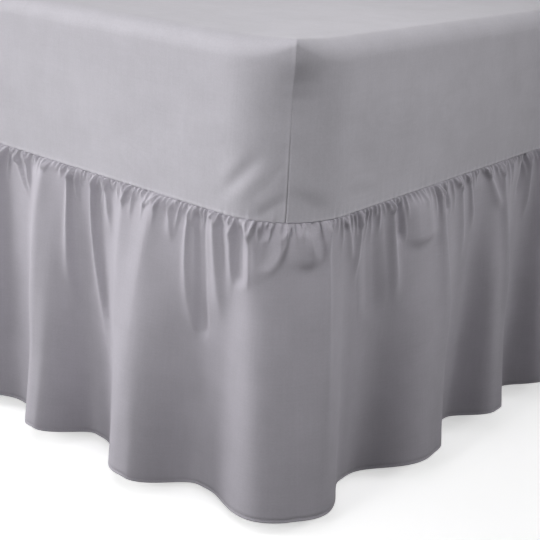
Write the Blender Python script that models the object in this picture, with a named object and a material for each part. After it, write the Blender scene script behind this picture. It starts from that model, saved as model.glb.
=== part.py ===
# A fitted bed skirt on a mattress and a divan base.
# Metres, +Z up. Origin on the floor under the middle of the bed, X across it, Y along it, foot end at -Y.
import bpy
import bmesh
import math

for old in list(bpy.data.objects):
    bpy.data.objects.remove(old, do_unlink=True)

# ---- sizes -------------------------------------------------------------
HALF_X, HALF_Y = 0.454, 0.954      # outside of the cover's walls, half sizes
CORNER_R = 0.115                   # plan radius of the cover's corners
SEAM_Z = 0.422                     # height of the gather seam
TOP_Z = 0.657                      # top of the cover
EDGE_R = 0.028                     # rounding of the top edge
CLOTH = 0.002                      # thickness of both cloth pieces
CLEAR = 0.002                      # cover to mattress
GAP = 0.0003                       # between pieces that meet
DROP = 0.4145                      # length of the frill's cloth, seam to hem
PUFF = 0.006                       # how far the gathers stand out under the seam

BASE_X, BASE_Y, BASE_TOP = 0.445, 0.945, 0.420
FOOT_H, FOOT_R, FOOT_X, FOOT_Y = 0.045, 0.025, 0.36, 0.82

QUARTER = math.pi * CORNER_R / 2
SIDE_X, SIDE_Y = 2 * (HALF_X - CORNER_R), 2 * (HALF_Y - CORNER_R)
ROUND = 2 * (SIDE_X + SIDE_Y) + 4 * QUARTER

# One row per extreme of the frill's wave near the corner at +X, -Y.
# at_seam, at_hem: distance along the gather seam from the middle of that corner, + up the long side.
# out: how far the hem stands out from the wall.
FOLDS = [
    # at_seam, at_hem,  out
    (-0.640, -0.565, 0.105),
    (-0.510, -0.465, 0.052),
    (-0.452, -0.372, 0.110),
    (-0.345, -0.305, 0.034),
    (-0.235, -0.178, 0.103),
    (-0.085, -0.093, 0.023),
    (0.000, 0.002, 0.087),
    (0.018, 0.020, 0.084),
    (0.130, 0.118, 0.018),
    (0.335, 0.250, 0.096),
    (0.455, 0.362, 0.042),
    (0.535, 0.435, 0.102),
    (0.610, 0.535, 0.050),
    (0.700, 0.610, 0.110),
]
HALF_FOLD_COLUMNS = 7
ROWS = [0.0, 0.022, 0.085, 0.210, DROP]


def path(s, out=0.0):
    """Point and outward normal at distance s round the seam line, s = 0 at the corner +X, -Y."""
    s = (s + QUARTER / 2) % ROUND
    legs = [(QUARTER, 0), (SIDE_Y, 1), (QUARTER, 2), (SIDE_X, 3), (QUARTER, 4), (SIDE_Y, 5), (QUARTER, 6), (SIDE_X, 7)]
    for length, leg in legs:
        if s <= length:
            break
        s -= length
    turn = -math.pi / 2 + (leg // 2) * math.pi / 2
    cx = (HALF_X - CORNER_R) * (1 if leg in (0, 1, 2, 7) else -1)
    cy = (HALF_Y - CORNER_R) * (1 if leg in (2, 3, 4, 1) else -1)
    if leg % 2 == 0:
        a = turn + s / CORNER_R
        nx, ny = math.cos(a), math.sin(a)
        return cx + nx * (CORNER_R + out), cy + ny * (CORNER_R + out), nx, ny
    nx, ny = [(1, 0), (0, 1), (-1, 0), (0, -1)][leg // 2]
    start = {1: (HALF_X, -HALF_Y + CORNER_R), 3: (HALF_X - CORNER_R, HALF_Y),
             5: (-HALF_X, HALF_Y - CORNER_R), 7: (-HALF_X + CORNER_R, -HALF_Y)}[leg]
    return start[0] - ny * s + nx * out, start[1] + nx * s + ny * out, nx, ny


def solid(name, loops, colour, capped):
    """Closed mesh through a list of equal loops; the ends are capped, or the last loop joins the first."""
    bm = bmesh.new()
    rings = [[bm.verts.new(p) for p in loop] for loop in loops]
    count = len(rings[0])
    for i in range(len(rings) if not capped else len(rings) - 1):
        low, high = rings[i], rings[(i + 1) % len(rings)]
        for k in range(count):
            j = (k + 1) % count
            bm.faces.new((low[k], low[j], high[j], high[k]))
    if capped:
        bm.faces.new(list(reversed(rings[0])))
        bm.faces.new(rings[-1])
    bmesh.ops.triangulate(bm, faces=[f for f in bm.faces if len(f.verts) == 4], quad_method='SHORT_EDGE')
    bmesh.ops.recalc_face_normals(bm, faces=bm.faces)
    mesh = bpy.data.meshes.new(name)
    bm.to_mesh(mesh)
    bm.free()
    ob = bpy.data.objects.new(name, mesh)
    bpy.context.scene.collection.objects.link(ob)
    mat = bpy.data.materials.new(name)
    mat.use_nodes = True
    bsdf = mat.node_tree.nodes["Principled BSDF"]
    bsdf.inputs["Base Color"].default_value = (*colour, 1)
    bsdf.inputs["Roughness"].default_value = 0.85
    mesh.materials.append(mat)
    return ob


def rounded_plan(half_x, half_y, radius, z, steps=8):
    pts = []
    for quadrant in range(4):
        cx = (half_x - radius) * (1 if quadrant in (0, 3) else -1)
        cy = (half_y - radius) * (1 if quadrant in (0, 1) else -1)
        for k in range(steps + 1):
            a = (quadrant + k / steps) * math.pi / 2
            pts.append((cx + radius * math.cos(a), cy + radius * math.sin(a), z))
    return pts


def rounded_block(name, half_x, half_y, radius, low, high, edge, colour):
    """Plain block, rounded in plan, with its top and bottom edges rounded."""
    loops = []
    for sign, z in ((-1, low), (1, high)):
        turns = [k / 4 * math.pi / 2 for k in range(5)]
        if sign < 0:
            turns.reverse()
        for a in turns:
            inset = edge * (1 - math.cos(a))
            loops.append(rounded_plan(half_x - inset, half_y - inset, radius - inset, z - sign * edge * (1 - math.sin(a))))
    return solid(name, loops, colour, True)


# ---- the cover: a flat top, four walls and a stitched peak at each corner --------------------------
# height above the gather seam, how far the corner seam's ridge stands out there
RIDGE = [(0.0, 0.0005), (0.07, 0.0015), (0.14, 0.0020), (0.185, 0.0035), (0.207, 0.0060)]
PEAK_UP, PEAK_WIDE = 0.008, 0.017
CORNER_STEPS = 10


def cover_columns():
    """Distances round the seam line: close together at each corner seam, wide apart on the walls."""
    marks = []
    middles = [0.0, QUARTER + SIDE_Y, 2 * QUARTER + SIDE_Y + SIDE_X, 3 * QUARTER + 2 * SIDE_Y + SIDE_X]
    for i, middle in enumerate(middles):
        for k in range(-CORNER_STEPS // 2, CORNER_STEPS // 2 + 1):
            t = 2 * k / CORNER_STEPS
            marks.append((middle + math.copysign(abs(t) ** 1.5, t) * QUARTER / 2, math.copysign(abs(t) ** 1.5, t) * QUARTER / 2))
        wall = SIDE_Y if i % 2 == 0 else SIDE_X
        pieces = 4 if i % 2 == 0 else 2
        for k in range(1, pieces):
            marks.append((middle + QUARTER / 2 + wall * k / pieces, 1.0))
    return marks


def cover_loops(shell):
    """Loops from the gather seam to the top, shell = how far inside the outer surface."""
    marks = cover_columns()
    loops = []
    for up, ridge in RIDGE:
        loops.append([])
        for s, off in marks:
            x, y, nx, ny = path(s, -shell + ridge * math.exp(-(off / PEAK_WIDE) ** 2))
            loops[-1].append((x, y, SEAM_Z + up))
    for k in range(1, 5):
        a = k / 4 * math.pi / 2
        edge = EDGE_R - shell
        lift = PEAK_UP * math.sin(a) ** 1.5
        loops.append([])
        for s, off in marks:
            near = math.exp(-(off / PEAK_WIDE) ** 2)
            reach = 0.0065 * near * math.cos(a) ** 0.7 if k < 4 else 0.0
            x, y, nx, ny = path(s, -shell - edge * (1 - math.cos(a)) + reach)
            loops[-1].append((x, y, TOP_Z - EDGE_R + edge * math.sin(a) + lift * near))
    loops.append([])
    for s, off in marks:
        x, y, nx, ny = path(s, -0.062)
        loops[-1].append((x, y, TOP_Z - shell))
    return loops


outer = cover_loops(0.0)
inner = cover_loops(CLOTH)
solid("sheet_cover", list(reversed(inner)) + outer, (0.50, 0.48, 0.53), True)


# ---- the frill: one gathered strip all the way round ------------------------------------------------
def all_folds():
    """The table, then a crest at each other corner and folds of the same kind between them."""
    rows = [dict(at_seam=a, at_hem=h, out=o) for a, h, o in FOLDS]
    start = FOLDS[-1][1]
    corners = [QUARTER + SIDE_Y, 2 * QUARTER + SIDE_Y + SIDE_X, 3 * QUARTER + 2 * SIDE_Y + SIDE_X, ROUND + FOLDS[0][1]]
    number = 0
    for corner in corners:
        last = corner == corners[-1]
        from_crest = number == 0
        stop = corner if last else corner - 0.116
        odd = from_crest or last
        halves = 2 * round((stop - start) / 0.203 - 0.5) + 1 if odd else 2 * round((stop - start) / 0.203)
        for k in range(1, halves):
            number += 1
            at = start + (stop - start) * k / halves
            crest = k % 2 == (0 if from_crest else 1)
            lean = 0.030 * math.sin(2.1 * number)
            shift = 0.012 * math.sin(1.7 * number + 0.6)
            out = 0.092 + 0.010 * math.sin(2.9 * number) if crest else 0.036 + 0.012 * math.sin(1.3 * number)
            rows.append(dict(at_seam=at + shift + lean, at_hem=at + shift, out=out))
        if last:
            break
        rows.append(dict(at_seam=corner - 0.114, at_hem=corner - 0.116, out=0.022))
        rows.append(dict(at_seam=corner, at_hem=corner + 0.004, out=0.086))
        rows.append(dict(at_seam=corner + 0.112, at_hem=corner + 0.116, out=0.020))
        start = corner + 0.116
    rows.append(dict(at_seam=rows[0]["at_seam"] + ROUND, at_hem=rows[0]["at_hem"] + ROUND, out=rows[0]["out"]))
    return rows


def even_reach(rows):
    """The furthest fold on each side stands out as far as the one opposite, so the bed stays centred."""
    reach = {}
    for row in rows[:-1]:
        x, y, nx, ny = path(row["at_hem"], row["out"])
        if nx in (0, 1, -1):
            key = (round(nx), round(ny))
            if key not in reach or row["out"] > reach[key]["out"]:
                reach[key] = row
    for a, b in (((1, 0), (-1, 0)), ((0, 1), (0, -1))):
        reach[(-a[0], -a[1])]["out"] = reach[a]["out"] = max(reach[a]["out"], reach[b]["out"])
    return rows


def frill_loops():
    rows = even_reach(all_folds())
    loops_out, loops_in = [], []
    for down in ROWS:
        way = down / DROP
        ring = []
        for one, two in zip(rows, rows[1:]):
            for k in range(HALF_FOLD_COLUMNS):
                t = k / HALF_FOLD_COLUMNS
                wave = (1 - math.cos(math.pi * t)) / 2
                seam = one["at_seam"] + (two["at_seam"] - one["at_seam"]) * t
                hem = one["at_hem"] + (two["at_hem"] - one["at_hem"]) * t
                s = seam + (hem - seam) * min(1.0, way * 1.4)
                out = (one["out"] + (two["out"] - one["out"]) * wave) * way ** 0.9
                gather = 0.0035 * math.sin(s * 2 * math.pi / 0.057 + 2.0 * math.sin(s * 3.1))
                out += (PUFF + gather) * (1 - math.exp(-down / 0.008)) * math.exp(-down / 0.10)
                x, y, nx, ny = path(s, out)
                ring.append((x, y, SEAM_Z - GAP - math.sqrt(max(down ** 2 - (out * 0.98) ** 2, 0)) if down > 0.05 else SEAM_Z - GAP - down))
        loops_out.append(ring)
        inside = []
        for k, (x, y, z) in enumerate(ring):
            ax, ay, _ = ring[k - 1]
            bx, by, _ = ring[(k + 1) % len(ring)]
            length = math.hypot(bx - ax, by - ay)
            inside.append((x - CLOTH * (by - ay) / length, y + CLOTH * (bx - ax) / length, z))
        loops_in.append(inside)
    return loops_out + list(reversed(loops_in))


solid("frill", frill_loops(), (0.50, 0.48, 0.53), False)

# ---- what it is fitted on ----------------------------------------------------------------------------
MATTRESS_X, MATTRESS_Y = HALF_X - CLOTH - CLEAR, HALF_Y - CLOTH - CLEAR
rounded_block("mattress", MATTRESS_X, MATTRESS_Y, CORNER_R - CLOTH - CLEAR, BASE_TOP + GAP, TOP_Z - CLOTH - CLEAR,
              EDGE_R - CLOTH - CLEAR + 0.003, (0.80, 0.79, 0.76))
rounded_block("bed_base", BASE_X, BASE_Y, CORNER_R - 0.009, FOOT_H, BASE_TOP, 0.006, (0.30, 0.29, 0.30))
for number, (x, y) in enumerate(((FOOT_X, -FOOT_Y), (FOOT_X, FOOT_Y), (-FOOT_X, FOOT_Y), (-FOOT_X, -FOOT_Y)), 1):
    loops = [[(x + FOOT_R * math.cos(k * math.pi / 12), y + FOOT_R * math.sin(k * math.pi / 12), z) for k in range(24)]
             for z in (0.0, FOOT_H - GAP)]
    solid("foot_%d" % number, loops, (0.04, 0.04, 0.04), True)
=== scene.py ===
import math
import bpy
import bmesh
import numpy as np
from mathutils import Matrix, Vector


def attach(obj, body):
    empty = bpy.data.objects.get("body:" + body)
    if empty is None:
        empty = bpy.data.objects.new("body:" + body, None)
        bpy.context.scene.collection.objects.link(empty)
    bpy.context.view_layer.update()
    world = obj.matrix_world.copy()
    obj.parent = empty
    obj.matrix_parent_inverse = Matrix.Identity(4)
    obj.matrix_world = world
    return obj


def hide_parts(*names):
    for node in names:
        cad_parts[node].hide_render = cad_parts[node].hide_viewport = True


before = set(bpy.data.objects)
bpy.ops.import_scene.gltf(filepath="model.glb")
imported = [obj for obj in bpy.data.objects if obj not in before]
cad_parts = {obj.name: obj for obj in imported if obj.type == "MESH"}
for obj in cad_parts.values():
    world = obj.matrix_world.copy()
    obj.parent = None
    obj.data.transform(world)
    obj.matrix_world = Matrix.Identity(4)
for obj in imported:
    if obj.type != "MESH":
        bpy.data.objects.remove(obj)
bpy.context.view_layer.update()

scene = bpy.context.scene

# The camera stands at the foot of the bed, off its right-hand corner, a little above
# mattress height, looking down at the corner seam.
CAMERA_AT = Vector((1.2147, -1.9294, 0.8463))
CAMERA_HEADING = math.radians(38.98)
CAMERA_DOWN = math.radians(20.915)
CAMERA_ROLL = math.radians(3.04)
CAMERA_LENS = 69.03

camera_data = bpy.data.cameras.new("camera")
camera_data.sensor_width = 36.0
camera_data.lens = CAMERA_LENS
camera_data.clip_start = 0.05
camera = bpy.data.objects.new("camera", camera_data)
scene.collection.objects.link(camera)
forward = Vector((-math.sin(CAMERA_HEADING) * math.cos(CAMERA_DOWN),
                  math.cos(CAMERA_HEADING) * math.cos(CAMERA_DOWN), -math.sin(CAMERA_DOWN)))
level = Vector((math.cos(CAMERA_HEADING), math.sin(CAMERA_HEADING), 0))
upward = level.cross(forward)
right = math.cos(CAMERA_ROLL) * level + math.sin(CAMERA_ROLL) * upward
upward = math.cos(CAMERA_ROLL) * upward - math.sin(CAMERA_ROLL) * level
turned = Matrix((right, upward, -forward)).transposed().to_4x4()
camera.matrix_world = Matrix.Translation(CAMERA_AT) @ turned
scene.camera = camera

# ------------------------------------------------------------------------------------------------
# The feet: four short moulded plastic glides under the divan base. Black nylon with a fine spark
# texture from the mould and paler scuffing where they have been pushed over a floor.


def new_material(name):
    mat = bpy.data.materials.new(name)
    mat.use_nodes = True
    return mat, mat.node_tree.nodes, mat.node_tree.links, mat.node_tree.nodes["Principled BSDF"]


def noise(nodes, links, vector, scale, detail=3.0, roughness=0.5):
    node = nodes.new("ShaderNodeTexNoise")
    node.inputs["Scale"].default_value = scale
    node.inputs["Detail"].default_value = detail
    node.inputs["Roughness"].default_value = roughness
    links.new(vector, node.inputs["Vector"])
    return node.outputs["Fac"]


def spread(nodes, links, value, low, high, from_low=0.3, from_high=0.7):
    """Noise values stretched from its usual range to low..high."""
    node = nodes.new("ShaderNodeMapRange")
    node.inputs["From Min"].default_value = from_low
    node.inputs["From Max"].default_value = from_high
    node.inputs["To Min"].default_value = low
    node.inputs["To Max"].default_value = high
    links.new(value, node.inputs["Value"])
    return node.outputs["Result"]


def blend_colours(nodes, links, value, dark, pale):
    node = nodes.new("ShaderNodeMix")
    node.data_type = "RGBA"
    node.inputs["A"].default_value = (*dark, 1)
    node.inputs["B"].default_value = (*pale, 1)
    links.new(value, node.inputs["Factor"])
    return node.outputs["Result"]


def dress(node_name, mat):
    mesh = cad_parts[node_name].data
    mesh.materials.clear()
    mesh.materials.append(mat)


glide, nodes, links, bsdf = new_material("glide nylon")
here = nodes.new("ShaderNodeTexCoord").outputs["Object"]
scuffs = spread(nodes, links, noise(nodes, links, here, 60.0, 6.0, 0.7), 0.0, 1.0, 0.5, 0.8)
links.new(blend_colours(nodes, links, scuffs, (0.018, 0.018, 0.019), (0.060, 0.058, 0.056)),
          bsdf.inputs["Base Color"])
links.new(spread(nodes, links, scuffs, 0.42, 0.62, 0.0, 1.0), bsdf.inputs["Roughness"])
spark = nodes.new("ShaderNodeBump")
spark.inputs["Strength"].default_value = 0.35
spark.inputs["Distance"].default_value = 0.0002
links.new(noise(nodes, links, here, 1400.0), spark.inputs["Height"])
links.new(spark.outputs["Normal"], bsdf.inputs["Normal"])
for number in (1, 2, 3, 4):
    dress("foot_%d" % number, glide)

# ------------------------------------------------------------------------------------------------
# Woven cloth: every fabric here is a plain weave, so they share one pattern of crossing threads with
# uneven yarns, soft mottling and a little lint. Each cloth places it with its own colours and pitch.


def weave_group():
    group = bpy.data.node_groups.new("plain weave", "ShaderNodeTree")
    for name, kind, value in (("Vector", "NodeSocketVector", None),
                              ("Thread Scale", "NodeSocketFloat", 500.0),
                              ("Dark", "NodeSocketColor", (0.4, 0.4, 0.4, 1)),
                              ("Pale", "NodeSocketColor", (0.6, 0.6, 0.6, 1))):
        socket = group.interface.new_socket(name=name, in_out="INPUT", socket_type=kind)
        if value is not None:
            socket.default_value = value
    group.interface.new_socket(name="Color", in_out="OUTPUT", socket_type="NodeSocketColor")
    group.interface.new_socket(name="Height", in_out="OUTPUT", socket_type="NodeSocketFloat")
    nodes, links = group.nodes, group.links
    given = nodes.new("NodeGroupInput").outputs
    yarns = []
    for axis, stretch in (("X", (1.0, 0.05, 1.0)), ("Y", (0.05, 1.0, 1.0)), ("Z", (1.0, 1.0, 0.05))):
        bands = nodes.new("ShaderNodeTexWave")
        bands.bands_direction = axis
        bands.inputs["Distortion"].default_value = 0.6
        bands.inputs["Detail"].default_value = 1.0
        links.new(given["Thread Scale"], bands.inputs["Scale"])
        links.new(given["Vector"], bands.inputs["Vector"])
        pull = nodes.new("ShaderNodeVectorMath")
        pull.operation = "MULTIPLY"
        pull.inputs[1].default_value = stretch
        links.new(given["Vector"], pull.inputs[0])
        slub = noise(nodes, links, pull.outputs["Vector"], 330.0, 2.0)
        yarns.append((bands.outputs["Fac"], slub))
    total = None
    for bands, slub in yarns:
        both = nodes.new("ShaderNodeMath")
        both.operation = "MULTIPLY_ADD"
        both.inputs[1].default_value = 0.35
        links.new(bands, both.inputs[0])
        links.new(slub, both.inputs[2])
        if total is None:
            total = both.outputs["Value"]
        else:
            add = nodes.new("ShaderNodeMath")
            links.new(total, add.inputs[0])
            links.new(both.outputs["Value"], add.inputs[1])
            total = add.outputs["Value"]
    mottle = noise(nodes, links, given["Vector"], 16.0, 5.0, 0.62)
    lint = noise(nodes, links, given["Vector"], 460.0, 3.0, 0.6)
    tone = nodes.new("ShaderNodeMath")
    tone.operation = "MULTIPLY_ADD"
    tone.inputs[1].default_value = 0.28
    links.new(total, tone.inputs[0])
    links.new(mottle, tone.inputs[2])
    fleck = nodes.new("ShaderNodeMath")
    fleck.operation = "MULTIPLY_ADD"
    fleck.inputs[1].default_value = 0.75
    links.new(lint, fleck.inputs[0])
    links.new(tone.outputs["Value"], fleck.inputs[2])
    mix = nodes.new("ShaderNodeMix")
    mix.data_type = "RGBA"
    links.new(spread(nodes, links, fleck.outputs["Value"], 0.0, 1.0, 1.05, 1.75), mix.inputs["Factor"])
    links.new(given["Dark"], mix.inputs["A"])
    links.new(given["Pale"], mix.inputs["B"])
    leave = nodes.new("NodeGroupOutput").inputs
    links.new(mix.outputs["Result"], leave["Color"])
    links.new(total, leave["Height"])
    return group


WEAVE = weave_group()


def cloth_material(name, colour, contrast, thread_scale, relief, coordinates):
    """A plain-woven cloth: contrast is how far its tone strays, relief its bump's strength."""
    mat, nodes, links, bsdf = new_material(name)
    weave = nodes.new("ShaderNodeGroup")
    weave.node_tree = WEAVE
    weave.inputs["Thread Scale"].default_value = thread_scale
    weave.inputs["Dark"].default_value = (*(c * (1 - contrast) for c in colour), 1)
    weave.inputs["Pale"].default_value = (*(c * (1 + contrast) for c in colour), 1)
    links.new(nodes.new("ShaderNodeTexCoord").outputs[coordinates], weave.inputs["Vector"])
    links.new(weave.outputs["Color"], bsdf.inputs["Base Color"])
    bump = nodes.new("ShaderNodeBump")
    bump.inputs["Strength"].default_value = relief
    bump.inputs["Distance"].default_value = 0.0003
    links.new(weave.outputs["Height"], bump.inputs["Height"])
    links.new(bump.outputs["Normal"], bsdf.inputs["Normal"])
    bsdf.inputs["Roughness"].default_value = 0.86
    bsdf.inputs["Specular IOR Level"].default_value = 0.22
    bsdf.inputs["Sheen Weight"].default_value = 0.12
    bsdf.inputs["Sheen Roughness"].default_value = 0.5
    return mat


# ------------------------------------------------------------------------------------------------
# The divan base and the mattress. The base is upholstered all over in a coarse charcoal cloth, and
# the mattress in cream ticking. Both are covered by the skirt and only show from underneath.
dress("bed_base", cloth_material("base cloth", (0.105, 0.103, 0.108), 0.30, 220.0, 0.5, "Object"))
dress("mattress", cloth_material("ticking", (0.74, 0.71, 0.64), 0.07, 420.0, 0.25, "Object"))

# ------------------------------------------------------------------------------------------------
# The cover: the fitted top of the skirt, one piece of washed cotton. Its flat top turns down over the
# mattress into four plain walls, and each corner is closed by one seam, which stands out in a
# small point at the top, dips in below it, and pulls slanting creases into the walls at the foot.
HALF_X, HALF_Y = 0.454, 0.954        # outside of the cover's walls
CORNER_R = 0.115
SEAM_Z, TOP_Z = 0.422, 0.657
EDGE_R = 0.028
QUARTER = math.pi * CORNER_R / 2
SIDE_X, SIDE_Y = 2 * (HALF_X - CORNER_R), 2 * (HALF_Y - CORNER_R)
ROUND = 2 * (SIDE_X + SIDE_Y) + 4 * QUARTER
CORNERS = [0.0, QUARTER + SIDE_Y, 2 * QUARTER + SIDE_Y + SIDE_X, 3 * QUARTER + 2 * SIDE_Y + SIDE_X]
WALL_H = TOP_Z - EDGE_R - SEAM_Z
POINT_UP, POINT_WIDE = 0.004, 0.085
HOLLOW_WIDE, HOLLOW_AT = 0.028, 0.005
# painted light: the cover's cotton is given a lighter colour than the frill's, though it is the same
# cloth, for the light the mattress sends back through it
COVER_COLOUR_WITH_PAINTED_LIGHT = (0.548, 0.531, 0.577)

# how far the corner seam stands out, at heights above the gather seam, and how far the cloth
# beside it dips in
POINT = [(0.000, 0.0005), (0.100, 0.0008), (0.140, 0.0012), (0.160, 0.0030), (0.180, 0.0065),
         (0.196, 0.0105), (0.206, 0.0140), (0.214, 0.0160), (0.225, 0.0166), (0.240, 0.0166)]
HOLLOW = [(0.000, 0.0), (0.070, 0.0), (0.110, -0.0012), (0.140, -0.0026), (0.165, -0.0030),
          (0.185, -0.0020), (0.200, -0.0006), (0.212, 0.0)]
DEEPEST = -0.0032                    # as far in as a wall may go, just clear of the mattress
PULLED_FLAT = 0.6                    # share of the seam's ridge that is lost half way up the wall

# Creases in the walls at the near corner: from and to are places along the seam line and heights
# above it, half is the crease's half width, out how far it stands out, or in if negative.
CREASES = [
    # from_s, from_h, to_s,   to_h,   half,   out
    (-0.030, 0.094, -0.102, 0.018, 0.0095, -0.0016),
    (-0.016, 0.084, -0.074, 0.020, 0.0130, 0.0020),
    (-0.052, 0.092, -0.098, 0.045, 0.0110, 0.0009),
    (0.006, 0.036, -0.046, 0.000, 0.0070, -0.0017),
    (0.006, 0.054, -0.050, 0.016, 0.0105, 0.0013),
    (-0.003, 0.070, -0.016, 0.048, 0.0055, 0.0010),
    (-0.001, 0.0995, -0.015, 0.1010, 0.0016, -0.0009),
    (-0.001, 0.1030, -0.013, 0.1050, 0.0022, 0.0009),
    (-0.001, 0.0850, -0.011, 0.0840, 0.0016, -0.0007),
    (-0.001, 0.0750, -0.012, 0.0725, 0.0018, -0.0007),
    (0.003, 0.040, 0.060, 0.011, 0.0110, -0.0013),
    (0.006, 0.056, 0.070, 0.030, 0.0140, 0.0010),
    (0.085, 0.028, 0.172, 0.023, 0.0090, -0.0009),
    (0.095, 0.043, 0.165, 0.037, 0.0100, 0.0007),
    (-0.070, 0.120, -0.180, 0.100, 0.0300, 0.0012),
    (0.120, 0.150, 0.260, 0.120, 0.0350, 0.0014),
    (-0.300, 0.060, -0.220, 0.020, 0.0160, 0.0012),
    (0.300, 0.110, 0.420, 0.150, 0.0300, -0.0012),
]


def seam_line(s):
    """Points and outward normals at distances s round the gather seam from the near corner."""
    s = np.mod(np.asarray(s, float) + QUARTER / 2, ROUND)
    x, y, nx, ny = (np.zeros_like(s) for _ in range(4))
    start = 0.0
    for leg in range(8):
        length = QUARTER if leg % 2 == 0 else (SIDE_Y if leg % 4 == 1 else SIDE_X)
        here = (s >= start) & (s <= start + length)
        t = s[here] - start
        quadrant = leg // 2
        cx = (HALF_X - CORNER_R) * (1 if quadrant in (0, 1) else -1)
        cy = (HALF_Y - CORNER_R) * (1 if quadrant in (1, 2) else -1)
        if leg % 2 == 0:
            a = (quadrant - 1) * math.pi / 2 + t / CORNER_R
            nx[here], ny[here] = np.cos(a), np.sin(a)
            x[here], y[here] = cx + CORNER_R * nx[here], cy + CORNER_R * ny[here]
        else:
            ux, uy = [(1, 0), (0, 1), (-1, 0), (0, -1)][quadrant]
            nx[here], ny[here] = ux, uy
            x[here] = cx + CORNER_R * ux - uy * t
            y[here] = cy + CORNER_R * uy + ux * t
        start += length
    return x, y, nx, ny


def step_up(x, low, high):
    t = np.clip((x - low) / (high - low), 0, 1)
    return t * t * (3 - 2 * t)


def smooth_table(table, x):
    """A table's value at x, eased between its rows."""
    xs, ys = np.array(table).T
    k = np.clip(np.searchsorted(xs, x, side="right") - 1, 0, len(xs) - 2)
    return ys[k] + (ys[k + 1] - ys[k]) * step_up(x, xs[k], xs[k + 1])


def round_distance(s, place):
    """Signed distance round the seam line from a place on it."""
    return np.mod(s - place + ROUND / 2, ROUND) - ROUND / 2


def wall_relief(s, h):
    """How far the walls stand out at s round the seam line and h above it, less the corner points."""
    out = np.zeros(np.broadcast(s, h).shape)
    # the other corners have the same creases a little shorter, turned about at two of them
    for from_s, from_h, to_s, to_h, half, high in CREASES:
        for corner in CORNERS:
            turn = 1 if corner == 0.0 else (-1) ** CORNERS.index(corner) * 0.8
            d = round_distance(s, corner) / turn
            length = math.hypot(to_s - from_s, to_h - from_h)
            ux, uy = (to_s - from_s) / length, (to_h - from_h) / length
            along = ((d - from_s) * ux + (h - from_h) * uy) / length
            off = (h - from_h) * ux - (d - from_s) * uy
            ends = np.exp(-(np.clip(np.abs(along - 0.5) - 0.15, 0, None) / 0.24) ** 2)
            out += high * np.exp(-(off / half) ** 2) * ends
    chance = np.random.default_rng(3)
    for _ in range(7):
        f, a = chance.uniform(3, 12), chance.uniform(0, 6.3)
        g, b = chance.uniform(8, 26), chance.uniform(0, 6.3)
        out += 0.00045 * np.sin(s * f + a) * np.sin(h * g + b)
    # little puckers that the gathering thread pulls into the wall's lower edge
    for pitch, sway in ((0.0115, 3.0), (0.0173, 5.0), (0.0071, 4.0)):
        out += 0.00035 * np.sin(s * 2 * math.pi / pitch + sway * np.sin(s * 7)) * np.exp(-h / 0.007)
    return out


# columns round the walls, closest together at the near corner's seam
cover_columns = []
for corner in CORNERS:
    if corner == 0.0:
        cover_columns += list(np.arange(-0.0049, 0.0050, 0.0007))
        cover_columns += list(np.arange(0.007, 0.1, 0.0024))
        cover_columns += list(np.arange(-0.1, -0.006, 0.0024))
    else:
        cover_columns += list(corner + np.arange(-0.004, 0.0041, 0.001))
        cover_columns += list(corner + np.arange(0.008, 0.1, 0.005))
        cover_columns += list(corner - np.arange(0.008, 0.1, 0.005))
cover_columns += list(np.arange(0.104, 0.74, 0.0045)) + list(np.arange(-0.104, -0.70, -0.0045))
for low, high in ((0.74, CORNERS[1] - 0.10), (CORNERS[1] + 0.10, CORNERS[2] - 0.10),
                  (CORNERS[2] + 0.10, CORNERS[3] - 0.10), (CORNERS[3] + 0.10, ROUND - 0.70)):
    cover_columns += list(np.linspace(low, high, max(2, round((high - low) / 0.014))))
cover_columns = np.unique(np.round(np.mod(cover_columns, ROUND), 5))
cover_columns = np.append(cover_columns, cover_columns[0] + ROUND)
beside = np.stack([round_distance(cover_columns, corner) for corner in CORNERS])
beside = np.take_along_axis(beside, np.abs(beside).argmin(0)[None, :], 0)[0]
point = np.clip(1 - np.abs(beside) / POINT_WIDE, 0, 1) ** 2.3
hollow = np.exp(-((beside - HOLLOW_AT) / HOLLOW_WIDE) ** 2)
# the seam itself: the left panel's edge stands proud, then a narrow groove, then the right panel
lap = 0.0006 * step_up(beside, -0.0060, -0.0012) * (1 - step_up(beside, -0.0010, 0.0002))
groove = -0.0006 * np.exp(-((beside - 0.0005) / 0.0008) ** 2)

# the rolled lower edge: height, and how far it stands out
UNDER_ROWS = [(-0.0012, -0.0042), (-0.0010, -0.0018), (-0.0004, -0.0004), (0.0006, 0.0004),
              (0.0018, 0.0006), (0.0030, 0.0003)]
WALL_ROWS = np.concatenate([[0.0045, 0.0065], np.arange(0.010, WALL_H, 0.0045), [WALL_H]])
EDGE_TURNS = np.radians([8, 16, 25, 34, 43, 52, 61, 70, 80, 90])
TOP_STEPS = np.array([0.15, 0.3, 0.5, 0.7, 0.85, 1.0])
TOP_INSET = 0.066

edge_r = EDGE_R * (1 - 0.72 * point)
top_z = TOP_Z + POINT_UP * point
cover_rows = []
for up, roll in UNDER_ROWS:
    reach = roll + wall_relief(cover_columns, up) + (lap + groove) * (up > 0)
    cover_rows.append((reach, np.full_like(reach, SEAM_Z + up)))
for up in WALL_ROWS:
    height_here = up + (top_z - edge_r - TOP_Z + EDGE_R) * (up / WALL_H) ** 6
    reach = smooth_table(POINT, height_here) * point + smooth_table(HOLLOW, height_here) * hollow
    # the creases end below the corner's point
    reach = reach + wall_relief(cover_columns, up) * (1 - step_up(up, 0.12, 0.17))
    # the seam is pulled flat over the middle of the wall
    shown = 1 - PULLED_FLAT * step_up(up, 0.09, 0.13) * (1 - step_up(up, 0.185, 0.205))
    cover_rows.append((np.maximum(reach, DEEPEST) + (lap + groove) * shown, SEAM_Z + height_here))
point_out = smooth_table(POINT, top_z - edge_r - SEAM_Z) * point
for turn in EDGE_TURNS:
    inset = edge_r * (1 - math.cos(turn))
    reach = point_out - inset + (lap + groove) * math.cos(turn)
    cover_rows.append((reach, top_z - edge_r * (1 - math.sin(turn))))
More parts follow.
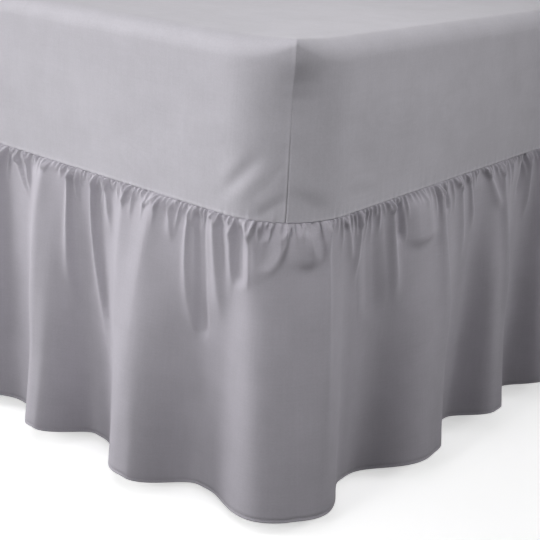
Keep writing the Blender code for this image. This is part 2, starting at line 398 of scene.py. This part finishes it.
for k in TOP_STEPS:
    reach = (point_out - edge_r) * (1 - k) - TOP_INSET * k
    cover_rows.append((reach, TOP_Z + POINT_UP * point * (1 - k) ** 1.6))


def finished(name, bm, mat):
    """A smooth-shaded object made from a bmesh, in its material."""
    for face in bm.faces:
        face.smooth = True
    mesh = bpy.data.meshes.new(name)
    bm.to_mesh(mesh)
    bm.free()
    mesh.materials.append(mat)
    ob = bpy.data.objects.new(name, mesh)
    scene.collection.objects.link(ob)
    return ob


cover_bm = bmesh.new()
across, down_count = len(cover_columns) - 1, len(cover_rows) - 1
bmesh.ops.create_grid(cover_bm, x_segments=across, y_segments=down_count, size=0.5)
x, y, nx, ny = seam_line(cover_columns)
for v in cover_bm.verts:
    i = round((v.co.x + 0.5) * across)
    j = round((v.co.y + 0.5) * down_count)
    v.index = i * (down_count + 1) + j
for v in cover_bm.verts:
    i, j = divmod(v.index, down_count + 1)
    reach, z = cover_rows[j]
    v.co = (x[i] + nx[i] * reach[i], y[i] + ny[i] * reach[i], z[i])
ends = [v for v in cover_bm.verts if v.index < down_count + 1 or v.index >= across * (down_count + 1)]
bmesh.ops.remove_doubles(cover_bm, verts=ends, dist=0.0001)
top_edge = [e for e in cover_bm.edges if e.is_boundary and e.verts[0].co.z > 0.6]
bmesh.ops.contextual_create(cover_bm, geom=top_edge)
for axis, half in ((Vector((1, 0, 0)), HALF_X), (Vector((0, 1, 0)), HALF_Y)):
    for cut in np.arange(-half + 0.09, half - 0.08, 0.03):
        inner = [f for f in cover_bm.faces
                 if f.calc_area() > 0.0001 and abs(f.calc_center_median().z - TOP_Z) < 1e-5]
        geom = set(inner)
        for f in inner:
            geom.update(f.edges)
            geom.update(f.verts)
        bmesh.ops.bisect_plane(cover_bm, geom=list(geom), plane_co=axis * float(cut), plane_no=axis,
                               dist=0.0001)
bmesh.ops.recalc_face_normals(cover_bm, faces=cover_bm.faces)
if max(cover_bm.faces, key=lambda f: f.calc_area()).normal.z < 0:
    bmesh.ops.reverse_faces(cover_bm, faces=cover_bm.faces)
cover_cotton = cloth_material("cover cotton", COVER_COLOUR_WITH_PAINTED_LIGHT, 0.075, 520.0, 0.10, "Object")
cover = finished("cover_cloth", cover_bm, cover_cotton)
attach(cover, "root")
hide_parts("sheet_cover")

# ------------------------------------------------------------------------------------------------
# The frill: one long strip of the same cotton, gathered on a thread and sewn under the lower edge of
# the cover all the way round. Small pleats start at the seam, run together into a few soft folds
# and end in a narrow turned hem.
DROP = 0.4145                        # cloth length from seam to hem
PUFF = 0.0030                        # how far the frill stands out just under the seam
PUFF_RISE, PUFF_FADE = 0.006, 0.14   # lengths down the cloth over which it does so, and stops
SET_BACK, TUCKED_IN = 0.0016, 0.0034 # how far inside the walls' face the frill and its raw edge start
HEM_LINE, HEM_TURN = 0.0038, 0.0100  # stitch line above the edge, depth of the turning
# painted shade: the frill's cotton is given a darker colour than the cover's, though it is the same
# cloth, for the shade of the dark space behind it
FRILL_COLOUR_WITH_PAINTED_SHADE = (0.472, 0.451, 0.500)

# The large folds near the corner, one row per crest or hollow: where it starts on the seam,
# where it meets the hem, and how far the hem stands out there.
FOLDS = [
    # at_seam, at_hem,  out
    (-0.640, -0.565, 0.105),
    (-0.510, -0.465, 0.052),
    (-0.452, -0.372, 0.110),
    (-0.345, -0.305, 0.034),
    (-0.235, -0.178, 0.103),
    (-0.085, -0.093, 0.023),
    (0.000, 0.002, 0.087),
    (0.018, 0.020, 0.084),
    (0.130, 0.118, 0.018),
    (0.335, 0.250, 0.096),
    (0.455, 0.362, 0.042),
    (0.535, 0.435, 0.102),
    (0.610, 0.535, 0.050),
    (0.700, 0.610, 0.110),
]

# The pleats that show one by one at the near corner. seam, middle and end are places along the seam
# line at the top, half way and at the foot of the pleat; reach is how far down it runs, out its
# height, or depth if negative, half its half width, and fade the length of its soft end.
PLEATS = [
    # seam,   middle, end,    reach, out,    half,  fade
    (-0.600, -0.585, -0.570, 0.300, 0.009, 0.013, 0.14),
    (-0.562, -0.535, -0.517, 0.380, 0.009, 0.012, 0.16),
    (-0.541, -0.508, -0.482, 0.075, 0.006, 0.005, 0.03),
    (-0.506, -0.492, -0.481, 0.065, 0.006, 0.005, 0.03),
    (-0.450, -0.434, -0.400, 0.330, 0.0095, 0.027, 0.14),
    (-0.394, -0.378, -0.346, 0.240, 0.008, 0.008, 0.10),
    (-0.385, -0.378, -0.372, 0.060, 0.004, 0.005, 0.03),
    (-0.342, -0.320, -0.258, 0.290, 0.010, 0.009, 0.08),
    (-0.320, -0.306, -0.296, 0.090, 0.006, 0.008, 0.05),
    (-0.295, -0.289, -0.284, 0.032, 0.004, 0.004, 0.02),
    (-0.272, -0.262, -0.240, 0.300, 0.006, 0.020, 0.16),
    (-0.210, -0.206, -0.176, 0.400, 0.009, 0.028, 0.14),
    (-0.207, -0.222, -0.240, 0.028, 0.004, 0.004, 0.01),
    (-0.184, -0.177, -0.171, 0.065, 0.0045, 0.006, 0.03),
    (-0.146, -0.142, -0.114, 0.186, 0.0045, 0.006, 0.03),
    (-0.104, -0.091, -0.075, 0.160, 0.0065, 0.010, 0.06),
    (-0.094, -0.083, -0.073, 0.110, -0.0025, 0.005, 0.05),
    (-0.078, -0.071, -0.067, 0.130, 0.0038, 0.007, 0.08),
    (-0.047, -0.037, -0.040, 0.100, 0.0036, 0.012, 0.04),
    (-0.048, -0.034, -0.026, 0.420, 0.004, 0.022, 0.18),
    (0.002, -0.003, -0.026, 0.076, 0.0048, 0.007, 0.015),
    (0.026, 0.030, 0.036, 0.050, 0.004, 0.005, 0.02),
    (0.059, 0.053, 0.046, 0.360, 0.005, 0.010, 0.16),
    (0.098, 0.106, 0.113, 0.075, 0.0035, 0.007, 0.03),
    (0.132, 0.126, 0.122, 0.110, 0.005, 0.008, 0.05),
    (0.203, 0.208, 0.212, 0.170, 0.007, 0.011, 0.07),
    (0.330, 0.320, 0.302, 0.300, 0.009, 0.014, 0.12),
    (0.392, 0.398, 0.405, 0.150, 0.006, 0.012, 0.06),
    (0.424, 0.431, 0.438, 0.100, 0.005, 0.006, 0.04),
    (0.482, 0.494, 0.506, 0.085, 0.006, 0.010, 0.03),
    (0.524, 0.508, 0.490, 0.300, 0.008, 0.011, 0.12),
    (0.617, 0.602, 0.583, 0.085, -0.006, 0.007, 0.03),
    (0.632, 0.620, 0.606, 0.120, 0.007, 0.008, 0.05),
    (0.668, 0.650, 0.640, 0.200, 0.008, 0.012, 0.08),
]

# Pockets between pleats, closed below by a rounded lip, and the shelves where cloth bulges over one:
# middle of the pocket at the top and at its foot, how far down the foot is, half width, depth
# (negative for a shelf), and height of the lip round it.
POCKETS = [
    # at_top,  at_foot, foot,  half,  depth,  lip
    (-0.130, -0.108, 0.184, 0.0130, 0.0046, 0.0000),
    (-0.061, -0.053, 0.092, 0.0115, 0.0040, 0.0012),
    (-0.028, -0.027, 0.025, 0.0070, 0.0040, 0.0025),
    (-0.014, -0.017, 0.066, 0.0140, 0.0020, 0.0000),
    (0.024, 0.027, 0.066, 0.0260, -0.007, 0.0000),
    (0.152, 0.168, 0.165, 0.0240, 0.0028, 0.0004),
    (0.221, 0.223, 0.068, 0.0115, 0.0050, 0.0006),
    (0.275, 0.272, 0.088, 0.0450, -0.0080, 0.0000),
    (0.345, 0.350, 0.050, 0.0090, 0.0045, 0.0006),
]
WHOLE_DEPTH = 0.25                   # share of a pocket's half width before its side begins
ROUNDEST = 0.022                     # the most that a pocket's foot is rounded
GATHERED_IN = 0.0022                 # how far in the cloth is drawn between the gathers, at the seam
NARROW_TOP, WIDE_FOOT = 0.60, 1.60   # a pleat's width at the seam and at its foot, as shares of its own
SHARP_SIDE, NARROW = 0.62, 0.02      # a pleat of less than this half width is steeper on its far side
INNERMOST_SEAM, INNERMOST = -0.0040, -0.0045   # as far in as the cloth may go, at the seam and below it


def all_folds():
    """The table, then a crest at each other corner and folds of the same kind between them."""
    rows = list(FOLDS)
    start = FOLDS[-1][1]
    number = 0
    for corner in CORNERS[1:] + [ROUND + FOLDS[0][1]]:
        last = corner > CORNERS[-1]
        from_crest = number == 0
        stop = corner if last else corner - 0.116
        if from_crest or last:
            halves = 2 * round((stop - start) / 0.203 - 0.5) + 1
        else:
            halves = 2 * round((stop - start) / 0.203)
        for k in range(1, halves):
            number += 1
            at = start + (stop - start) * k / halves
            crest = k % 2 == (0 if from_crest else 1)
            lean = 0.030 * math.sin(2.1 * number)
            shift = 0.012 * math.sin(1.7 * number + 0.6)
            if crest:
                out = 0.092 + 0.010 * math.sin(2.9 * number)
            else:
                out = 0.036 + 0.012 * math.sin(1.3 * number)
            rows.append((at + shift + lean, at + shift, out))
        if last:
            break
        rows.append((corner - 0.114, corner - 0.116, 0.022))
        rows.append((corner, corner + 0.004, 0.086))
        rows.append((corner + 0.112, corner + 0.116, 0.020))
        start = corner + 0.116
    rows.append((rows[0][0] + ROUND, rows[0][1] + ROUND, rows[0][2]))
    return np.array(rows)


def all_pleats():
    """The table, pleats of the same kind round the rest, and the fine gathers that feed them."""
    chance = np.random.default_rng(7)
    rows = list(PLEATS)
    at = PLEATS[-1][0] + 0.045
    while at < ROUND + PLEATS[0][0] - 0.03:
        reach = chance.choice([0.06, 0.11, 0.19, 0.30]) * chance.uniform(0.8, 1.2)
        half = 0.005 + 0.030 * reach + chance.uniform(0, 0.003)
        end = at + chance.uniform(-0.030, 0.030)
        middle = (at + end) / 2 + chance.uniform(-0.004, 0.004)
        rows.append((at, middle, end, reach, chance.uniform(0.006, 0.009), half, 0.40 * reach))
        at += chance.uniform(0.022, 0.050)
    fine = []
    for seam, middle, end, reach, out, half, fade in rows:
        if out > 0 and reach > 0.05:
            for side in (-1, 1):
                from_seam = seam + side * chance.uniform(0.005, 0.010)
                down = chance.uniform(0.018, 0.032)
                joins = seam + (end - seam) * down / reach
                fine.append((from_seam, (from_seam + joins) / 2, joins, down, 0.0032, 0.0028, 0.012))
    at = PLEATS[0][0] - 0.05
    while at < ROUND + PLEATS[0][0] - 0.05:
        down = chance.uniform(0.014, 0.028) if chance.random() < 0.65 else chance.uniform(0.032, 0.062)
        end = at + chance.uniform(-0.006, 0.006)
        high, half = chance.uniform(0.0034, 0.0056), chance.uniform(0.0032, 0.0044)
        fine.append((at, (at + end) / 2, end, down, high, half, down * 0.9))
        at += chance.uniform(0.0065, 0.0120)
    return rows + fine


def all_pockets():
    """The table, and plainer pockets round the rest."""
    chance = np.random.default_rng(11)
    rows = list(POCKETS)
    at = 0.70
    while at < ROUND - 0.64:
        foot = chance.choice([0.05, 0.09, 0.16])
        rows.append((at, at + chance.uniform(-0.012, 0.012), foot * chance.uniform(0.8, 1.2),
                     chance.uniform(0.009, 0.016), chance.uniform(0.004, 0.007), 0.0015))
        at += chance.uniform(0.07, 0.16)
    return rows


# distances down the cloth from the seam, closest together in the gathers and at the hem
ROWS = np.array([-0.003, 0.0, 0.0012, 0.0026, 0.0044, 0.0066, 0.0090, 0.0118, 0.0150, 0.0185, 0.0225,
                 0.0270, 0.0320, 0.0370, 0.0425, 0.0480, 0.0540, 0.0600, 0.0660, 0.0720, 0.0790,
                 0.0860, 0.0940, 0.1030, 0.1130, 0.1240, 0.1360, 0.1480, 0.1600, 0.1710, 0.1820,
                 0.1930, 0.2060, 0.2230, 0.2430, 0.2650, 0.2890, 0.3140, 0.3380, 0.3600, 0.3790,
                 0.3930, DROP - HEM_TURN, DROP - HEM_LINE - 0.0014, DROP - HEM_LINE,
                 DROP - HEM_LINE + 0.0012, DROP - 0.0008, DROP])
NEAR = (-0.66, 0.72)
near_columns = np.arange(NEAR[0], NEAR[1], 0.00130)
far_columns = np.linspace(NEAR[1], NEAR[0] + ROUND, 900, endpoint=False)
columns = np.concatenate([near_columns, far_columns, [NEAR[0] + ROUND]])

folds = all_folds()
wrapped = np.where(columns < folds[0, 0], columns + ROUND, columns)
place = np.clip(np.searchsorted(folds[:, 0], wrapped, side="right") - 1, 0, len(folds) - 2)
one, two = folds[place], folds[place + 1]
between = (wrapped - one[:, 0]) / (two[:, 0] - one[:, 0])
# shares of the way from crest to hollow over which a crest, and a hollow, turns into its flank
CREST_TURN, HOLLOW_TURN = 0.46, 0.50
grid = np.linspace(0, 1, 201)
steep = step_up(grid, 0.02, CREST_TURN) * (1 - step_up(grid, 1 - HOLLOW_TURN, 0.98))
flank = np.cumsum(steep) / steep.sum()
falling = one[:, 2] > two[:, 2]
wave = np.where(falling, np.interp(between, grid, flank), 1 - np.interp(1 - between, grid, flank))
fold_out = one[:, 2] + (two[:, 2] - one[:, 2]) * wave
drift = (one[:, 1] - one[:, 0]) + ((two[:, 1] - two[:, 0]) - (one[:, 1] - one[:, 0])) * between

under = np.clip(ROWS, 0, None)
way = under / DROP
along = columns[:, None] + drift[:, None] * (way ** 0.9)[None, :]
out = fold_out[:, None] * (way ** 0.92)[None, :]
puff = PUFF * (1 - np.exp(-under / PUFF_RISE)) * np.exp(-under / PUFF_FADE)
out = out + puff[None, :] - SET_BACK
out[:, 0] = -TUCKED_IN

fall = np.zeros_like(out)
lengths = np.diff(ROWS)[None, :]
slope = np.clip(np.diff(out, axis=1) / lengths, -0.9, 0.9)
slide = np.clip(np.diff(along, axis=1) / lengths, -0.9, 0.9)
fall[:, 1:] = np.cumsum(lengths * np.sqrt(np.clip(1 - slope ** 2 - slide ** 2, 0.3, 1)), axis=1)
height = SEAM_Z - (fall - fall[:, 1:2])


def window(centre, half):
    """The runs of columns that a feature touches, with the turn of the loop each belongs to."""
    for turn in (-ROUND, 0, ROUND):
        low = np.searchsorted(columns, centre.min() + turn - 4 * half - 0.1)
        high = np.searchsorted(columns, centre.max() + turn + 4 * half + 0.1)
        if high > low:
            yield slice(low, high), turn


# between the gathers the cloth is drawn in
relief = np.zeros_like(out) - GATHERED_IN * (1 - step_up(ROWS, 0.008, 0.034))[None, :]
for seam, middle, end, reach, high, half, fade in all_pleats():
    t = np.clip(ROWS / reach, 0, 1.2)
    centre = seam + (4 * middle - 3 * seam - end) * t + 2 * (seam + end - 2 * middle) * t * t
    strength = step_up(ROWS, -0.002, 0.001 + 0.05 * min(reach, 0.2))
    strength = strength * (1 - step_up(ROWS, reach - fade, reach))
    sharp = SHARP_SIDE if high > 0 and half < NARROW else 1.0
    widening = half * (NARROW_TOP + (WIDE_FOOT - NARROW_TOP) * np.clip(t, 0, 1))
    for run, turn in window(centre[strength > 0], half * WIDE_FOOT):
        off = (along[run] - (centre[None, :] + turn)) / widening[None, :]
        off = np.where(off > 0, off / sharp, -off)
        relief[run] += high * strength[None, :] * np.exp(-off ** 1.7)
for at_top, at_foot, foot, half, deep, lip in all_pockets():
    t = np.clip(ROWS / foot, 0, 1)
    centre = at_top + (at_foot - at_top) * t
    rounded = min(1.4 * half, ROUNDEST)
    below = np.clip(ROWS - (foot - rounded), 0, None) / rounded
    start = step_up(ROWS, 0.002, min(0.020, foot / 2))
    for run, turn in window(centre, half):
        off = np.hypot((along[run] - (centre[None, :] + turn)) / half, below[None, :])
        relief[run] -= deep * start * (1 - step_up(off, WHOLE_DEPTH, 1.05))
        relief[run] += lip * start * np.exp(-((off - 1.15) / 0.16) ** 2)
chance = np.random.default_rng(5)
for _ in range(8):
    f, a = chance.uniform(10, 40), chance.uniform(0, 6.3)
    g, b = chance.uniform(6, 20), chance.uniform(0, 6.3)
    ripple = 0.0005 * np.sin(columns * f + a)[:, None] * np.sin(ROWS * g + b)[None, :]
    relief += ripple * step_up(ROWS, 0.03, 0.12)[None, :]
out = np.maximum(out + relief, np.where(ROWS > 0.0004, INNERMOST, INNERMOST_SEAM)[None, :])

# the turned hem: a stitch line pulled in, and the folded edge a little proud of the cloth above it
out[:, -6] += 0.0003
out[:, -5] += 0.0002
out[:, -4] -= 0.0006
out[:, -3] += 0.0003
out[:, -2] += 0.0004
out[:, -1] -= 0.0002

x, y, nx, ny = seam_line(along.ravel())
x, y, nx, ny = (a.reshape(along.shape) for a in (x, y, nx, ny))
px, py, pz = x + nx * out, y + ny * out, height
# inside, the turning runs back up to the line of the hem's depth
TURNED = [(-1, 0.0011, 0.0002), (-4, 0.0014, 0.0), (-6, 0.0016, 0.0)]
inside = [(px[:, j] - nx[:, j] * back, py[:, j] - ny[:, j] * back, pz[:, j] + lift)
          for j, back, lift in TURNED]
cloth_v = np.append(ROWS, [DROP + 0.001, DROP + HEM_LINE, DROP + HEM_TURN])
px, py, pz = (np.column_stack([a] + [turn[k] for turn in inside]) for k, a in enumerate((px, py, pz)))
MEASURED = 20                        # the row that the cloth's length is measured along
cloth_u = np.concatenate([[0], np.cumsum(np.hypot(np.diff(px[:, MEASURED]), np.diff(py[:, MEASURED])))])

strip = bmesh.new()
across, down_count = len(columns) - 1, len(cloth_v) - 1
bmesh.ops.create_grid(strip, x_segments=across, y_segments=down_count, size=0.5)
uv = strip.loops.layers.uv.new("cloth")
for v in strip.verts:
    i = round((v.co.x + 0.5) * across)
    j = round((0.5 - v.co.y) * down_count)
    v.index = i * (down_count + 1) + j
for face in strip.faces:
    for loop in face.loops:
        i, j = divmod(loop.vert.index, down_count + 1)
        loop[uv].uv = (cloth_u[i], -cloth_v[j])
for v in strip.verts:
    i, j = divmod(v.index, down_count + 1)
    v.co = (px[i, j], py[i, j], pz[i, j])
ends = [v for v in strip.verts if v.index < down_count + 1 or v.index >= across * (down_count + 1)]
bmesh.ops.remove_doubles(strip, verts=ends, dist=0.0001)
bmesh.ops.recalc_face_normals(strip, faces=strip.faces)
outer = max(strip.faces, key=lambda f: f.calc_area())
if outer.normal.dot(Vector((outer.calc_center_median().x, outer.calc_center_median().y, 0))) < 0:
    bmesh.ops.reverse_faces(strip, faces=strip.faces)
frill_cotton = cloth_material("frill cotton", FRILL_COLOUR_WITH_PAINTED_SHADE, 0.080, 520.0, 0.10, "UV")
frill = finished("frill_cloth", strip, frill_cotton)
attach(frill, "root")
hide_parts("frill")

# ------------------------------------------------------------------------------------------------
# The stitching: pale polyester thread. One row closes each corner seam of the cover, and one row
# holds the frill's hem up, a few millimetres above its edge.
STITCH_LONG, STITCH_WIDE = 0.0021, 0.00042
HEM_PITCH, CORNER_PITCH = 0.0034, 0.0038
THREAD_COLOUR = (0.62, 0.605, 0.645)

bead_bm = bmesh.new()
bmesh.ops.create_uvsphere(bead_bm, u_segments=5, v_segments=4, radius=0.5)
# the operator lists edges and faces in a different order each run, so they are put in a fixed one
bead_bm.verts.index_update()
for parts in (bead_bm.edges, bead_bm.faces):
    parts.sort(key=lambda part: sum(2 ** v.index for v in part.verts))
bead = bpy.data.meshes.new("bead")
bead_bm.to_mesh(bead)
bead_bm.free()


def stitch(bm, at, way_along, way_out):
    """One stitch: a short fat bead of thread lying along the cloth."""
    side = way_out.cross(way_along).normalized()
    turn = Matrix((way_along.normalized(), side, way_out.normalized())).transposed().to_4x4()
    placed = Matrix.Translation(at) @ turn @ Matrix.Diagonal((STITCH_LONG, STITCH_WIDE, STITCH_WIDE, 1))
    bead.transform(placed)
    bm.from_mesh(bead)
    bead.transform(placed.inverted())


def thread_object(name, bm, mat):
    ob = finished(name, bm, mat)
    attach(ob, "root")


thread, nodes, links, bsdf = new_material("sewing thread")
here = nodes.new("ShaderNodeTexCoord").outputs["Object"]
tint = spread(nodes, links, noise(nodes, links, here, 900.0), 0.0, 1.0)
links.new(blend_colours(nodes, links, tint, tuple(c * 0.88 for c in THREAD_COLOUR), THREAD_COLOUR),
          bsdf.inputs["Base Color"])
bsdf.inputs["Roughness"].default_value = 0.55

hem_bm = bmesh.new()
j = len(ROWS) - 4                    # the row of the hem's stitch line
edge_length = np.concatenate([[0], np.cumsum(np.hypot(np.diff(px[:, j]), np.diff(py[:, j])))])
places = np.arange(0, edge_length[-1], HEM_PITCH)
hem_x, hem_y, hem_z = (np.interp(places, edge_length, a[:, j]) for a in (px, py, pz))
ahead_x, ahead_y = (np.interp(places + 0.001, edge_length, a[:, j]) for a in (px, py))
for k in range(len(places)):
    way_along = Vector((ahead_x[k] - hem_x[k], ahead_y[k] - hem_y[k], 0))
    if way_along.length < 0.0002:
        continue
    way_out = Vector((way_along.y, -way_along.x, 0)).normalized()
    stitch(hem_bm, Vector((hem_x[k], hem_y[k], hem_z[k])) + way_out * 0.0001, way_along, way_out)
thread_object("hem_stitches", hem_bm, thread)

corner_bm = bmesh.new()
wall_rows = cover_rows[len(UNDER_ROWS):len(UNDER_ROWS) + len(WALL_ROWS)]
for corner in CORNERS:
    i = int(np.argmin(np.abs(round_distance(cover_columns[:-1], corner + 0.0005))))
    x1, y1, nx1, ny1 = (float(a[0]) for a in seam_line(np.array([cover_columns[i]])))
    heights = np.array([row[1][i] for row in wall_rows])
    reaches = np.array([row[0][i] for row in wall_rows])
    for z in np.arange(heights[0] + 0.004, heights[-1] - 0.004, CORNER_PITCH):
        reach, above = np.interp([z, z + 0.001], heights, reaches)
        way_along = Vector((nx1 * (above - reach), ny1 * (above - reach), 0.001))
        at = Vector((x1 + nx1 * reach, y1 + ny1 * reach, z))
        stitch(corner_bm, at, way_along, Vector((nx1, ny1, 0)))
thread_object("corner_stitches", corner_bm, thread)

# ------------------------------------------------------------------------------------------------
# The studio: a floor that looks pale but throws little light back, broad soft lamps on the left and
# ahead, narrow weak ones on the right, and lamps behind for the far sides.
floor_bm = bmesh.new()
bmesh.ops.create_grid(floor_bm, x_segments=2, y_segments=2, size=9.0)
floor_mat, nodes, links, pale = new_material("pale floor")
pale.inputs["Base Color"].default_value = (0.90, 0.90, 0.90, 1)
pale.inputs["Roughness"].default_value = 0.9
pale.inputs["Emission Color"].default_value = (1, 1, 1, 1)
pale.inputs["Emission Strength"].default_value = 0.55
dim = nodes.new("ShaderNodeBsdfDiffuse")
dim.inputs["Color"].default_value = (0.10, 0.10, 0.10, 1)
seen = nodes.new("ShaderNodeLightPath")
pick = nodes.new("ShaderNodeMixShader")
links.new(seen.outputs["Is Camera Ray"], pick.inputs["Fac"])
links.new(dim.outputs["BSDF"], pick.inputs[1])
links.new(pale.outputs["BSDF"], pick.inputs[2])
links.new(pick.outputs["Shader"], nodes["Material Output"].inputs["Surface"])
floor = finished("floor", floor_bm, floor_mat)

scene.view_settings.view_transform = "Standard"
world = bpy.data.worlds.new("studio")
scene.world = world
world.use_nodes = True
world.node_tree.nodes["Background"].inputs["Color"].default_value = (1, 1, 1, 1)
world.node_tree.nodes["Background"].inputs["Strength"].default_value = 0.145

AIM = Vector((0.35, -0.85, 0.56))      # on the wall by the near corner
LOW_AIM = Vector((0.35, -0.85, 0.40))  # just under the gather seam there
SIDE_AIM = Vector((0.45, 0.85, 0.40))  # the same on the right side, by the head
REAR_AIM = Vector((-0.2, 0.8, 0.35))   # the same at the head
LAMP_AWAY, LAMP_SIZE = 2.8, 1.3


def soft_lamp(name, bearing, rise, power, spread=70, aim=AIM):
    """A round lamp; its bearing turns from the bed's foot towards +X."""
    data = bpy.data.lights.new(name, "AREA")
    data.shape = "DISK"
    data.size = LAMP_SIZE
    data.energy = power
    data.spread = math.radians(spread)
    ob = bpy.data.objects.new(name, data)
    scene.collection.objects.link(ob)
    a, e = math.radians(bearing), math.radians(rise)
    way = Vector((math.sin(a) * math.cos(e), -math.cos(a) * math.cos(e), math.sin(e)))
    facing = way.to_track_quat("Z", "Y").to_matrix().to_4x4()
    ob.matrix_world = Matrix.Translation(aim + way * LAMP_AWAY) @ facing


soft_lamp("low left lamp", -65, 10, 8.8, 70, LOW_AIM)
soft_lamp("front lamp", -8, 18, 3.6, 50)
soft_lamp("high left lamp", -60, 60, 2.0)
soft_lamp("right lamp", 75, 35, 1.02, 40)
soft_lamp("far right lamp", 140, 22, 2.2, 34)
soft_lamp("back lamp", -150, 25, 1.6)
soft_lamp("side lamp", 100, 20, 1.1, 30, SIDE_AIM)
soft_lamp("rear lamp", -135, 7, 5.0, 70, REAR_AIM)
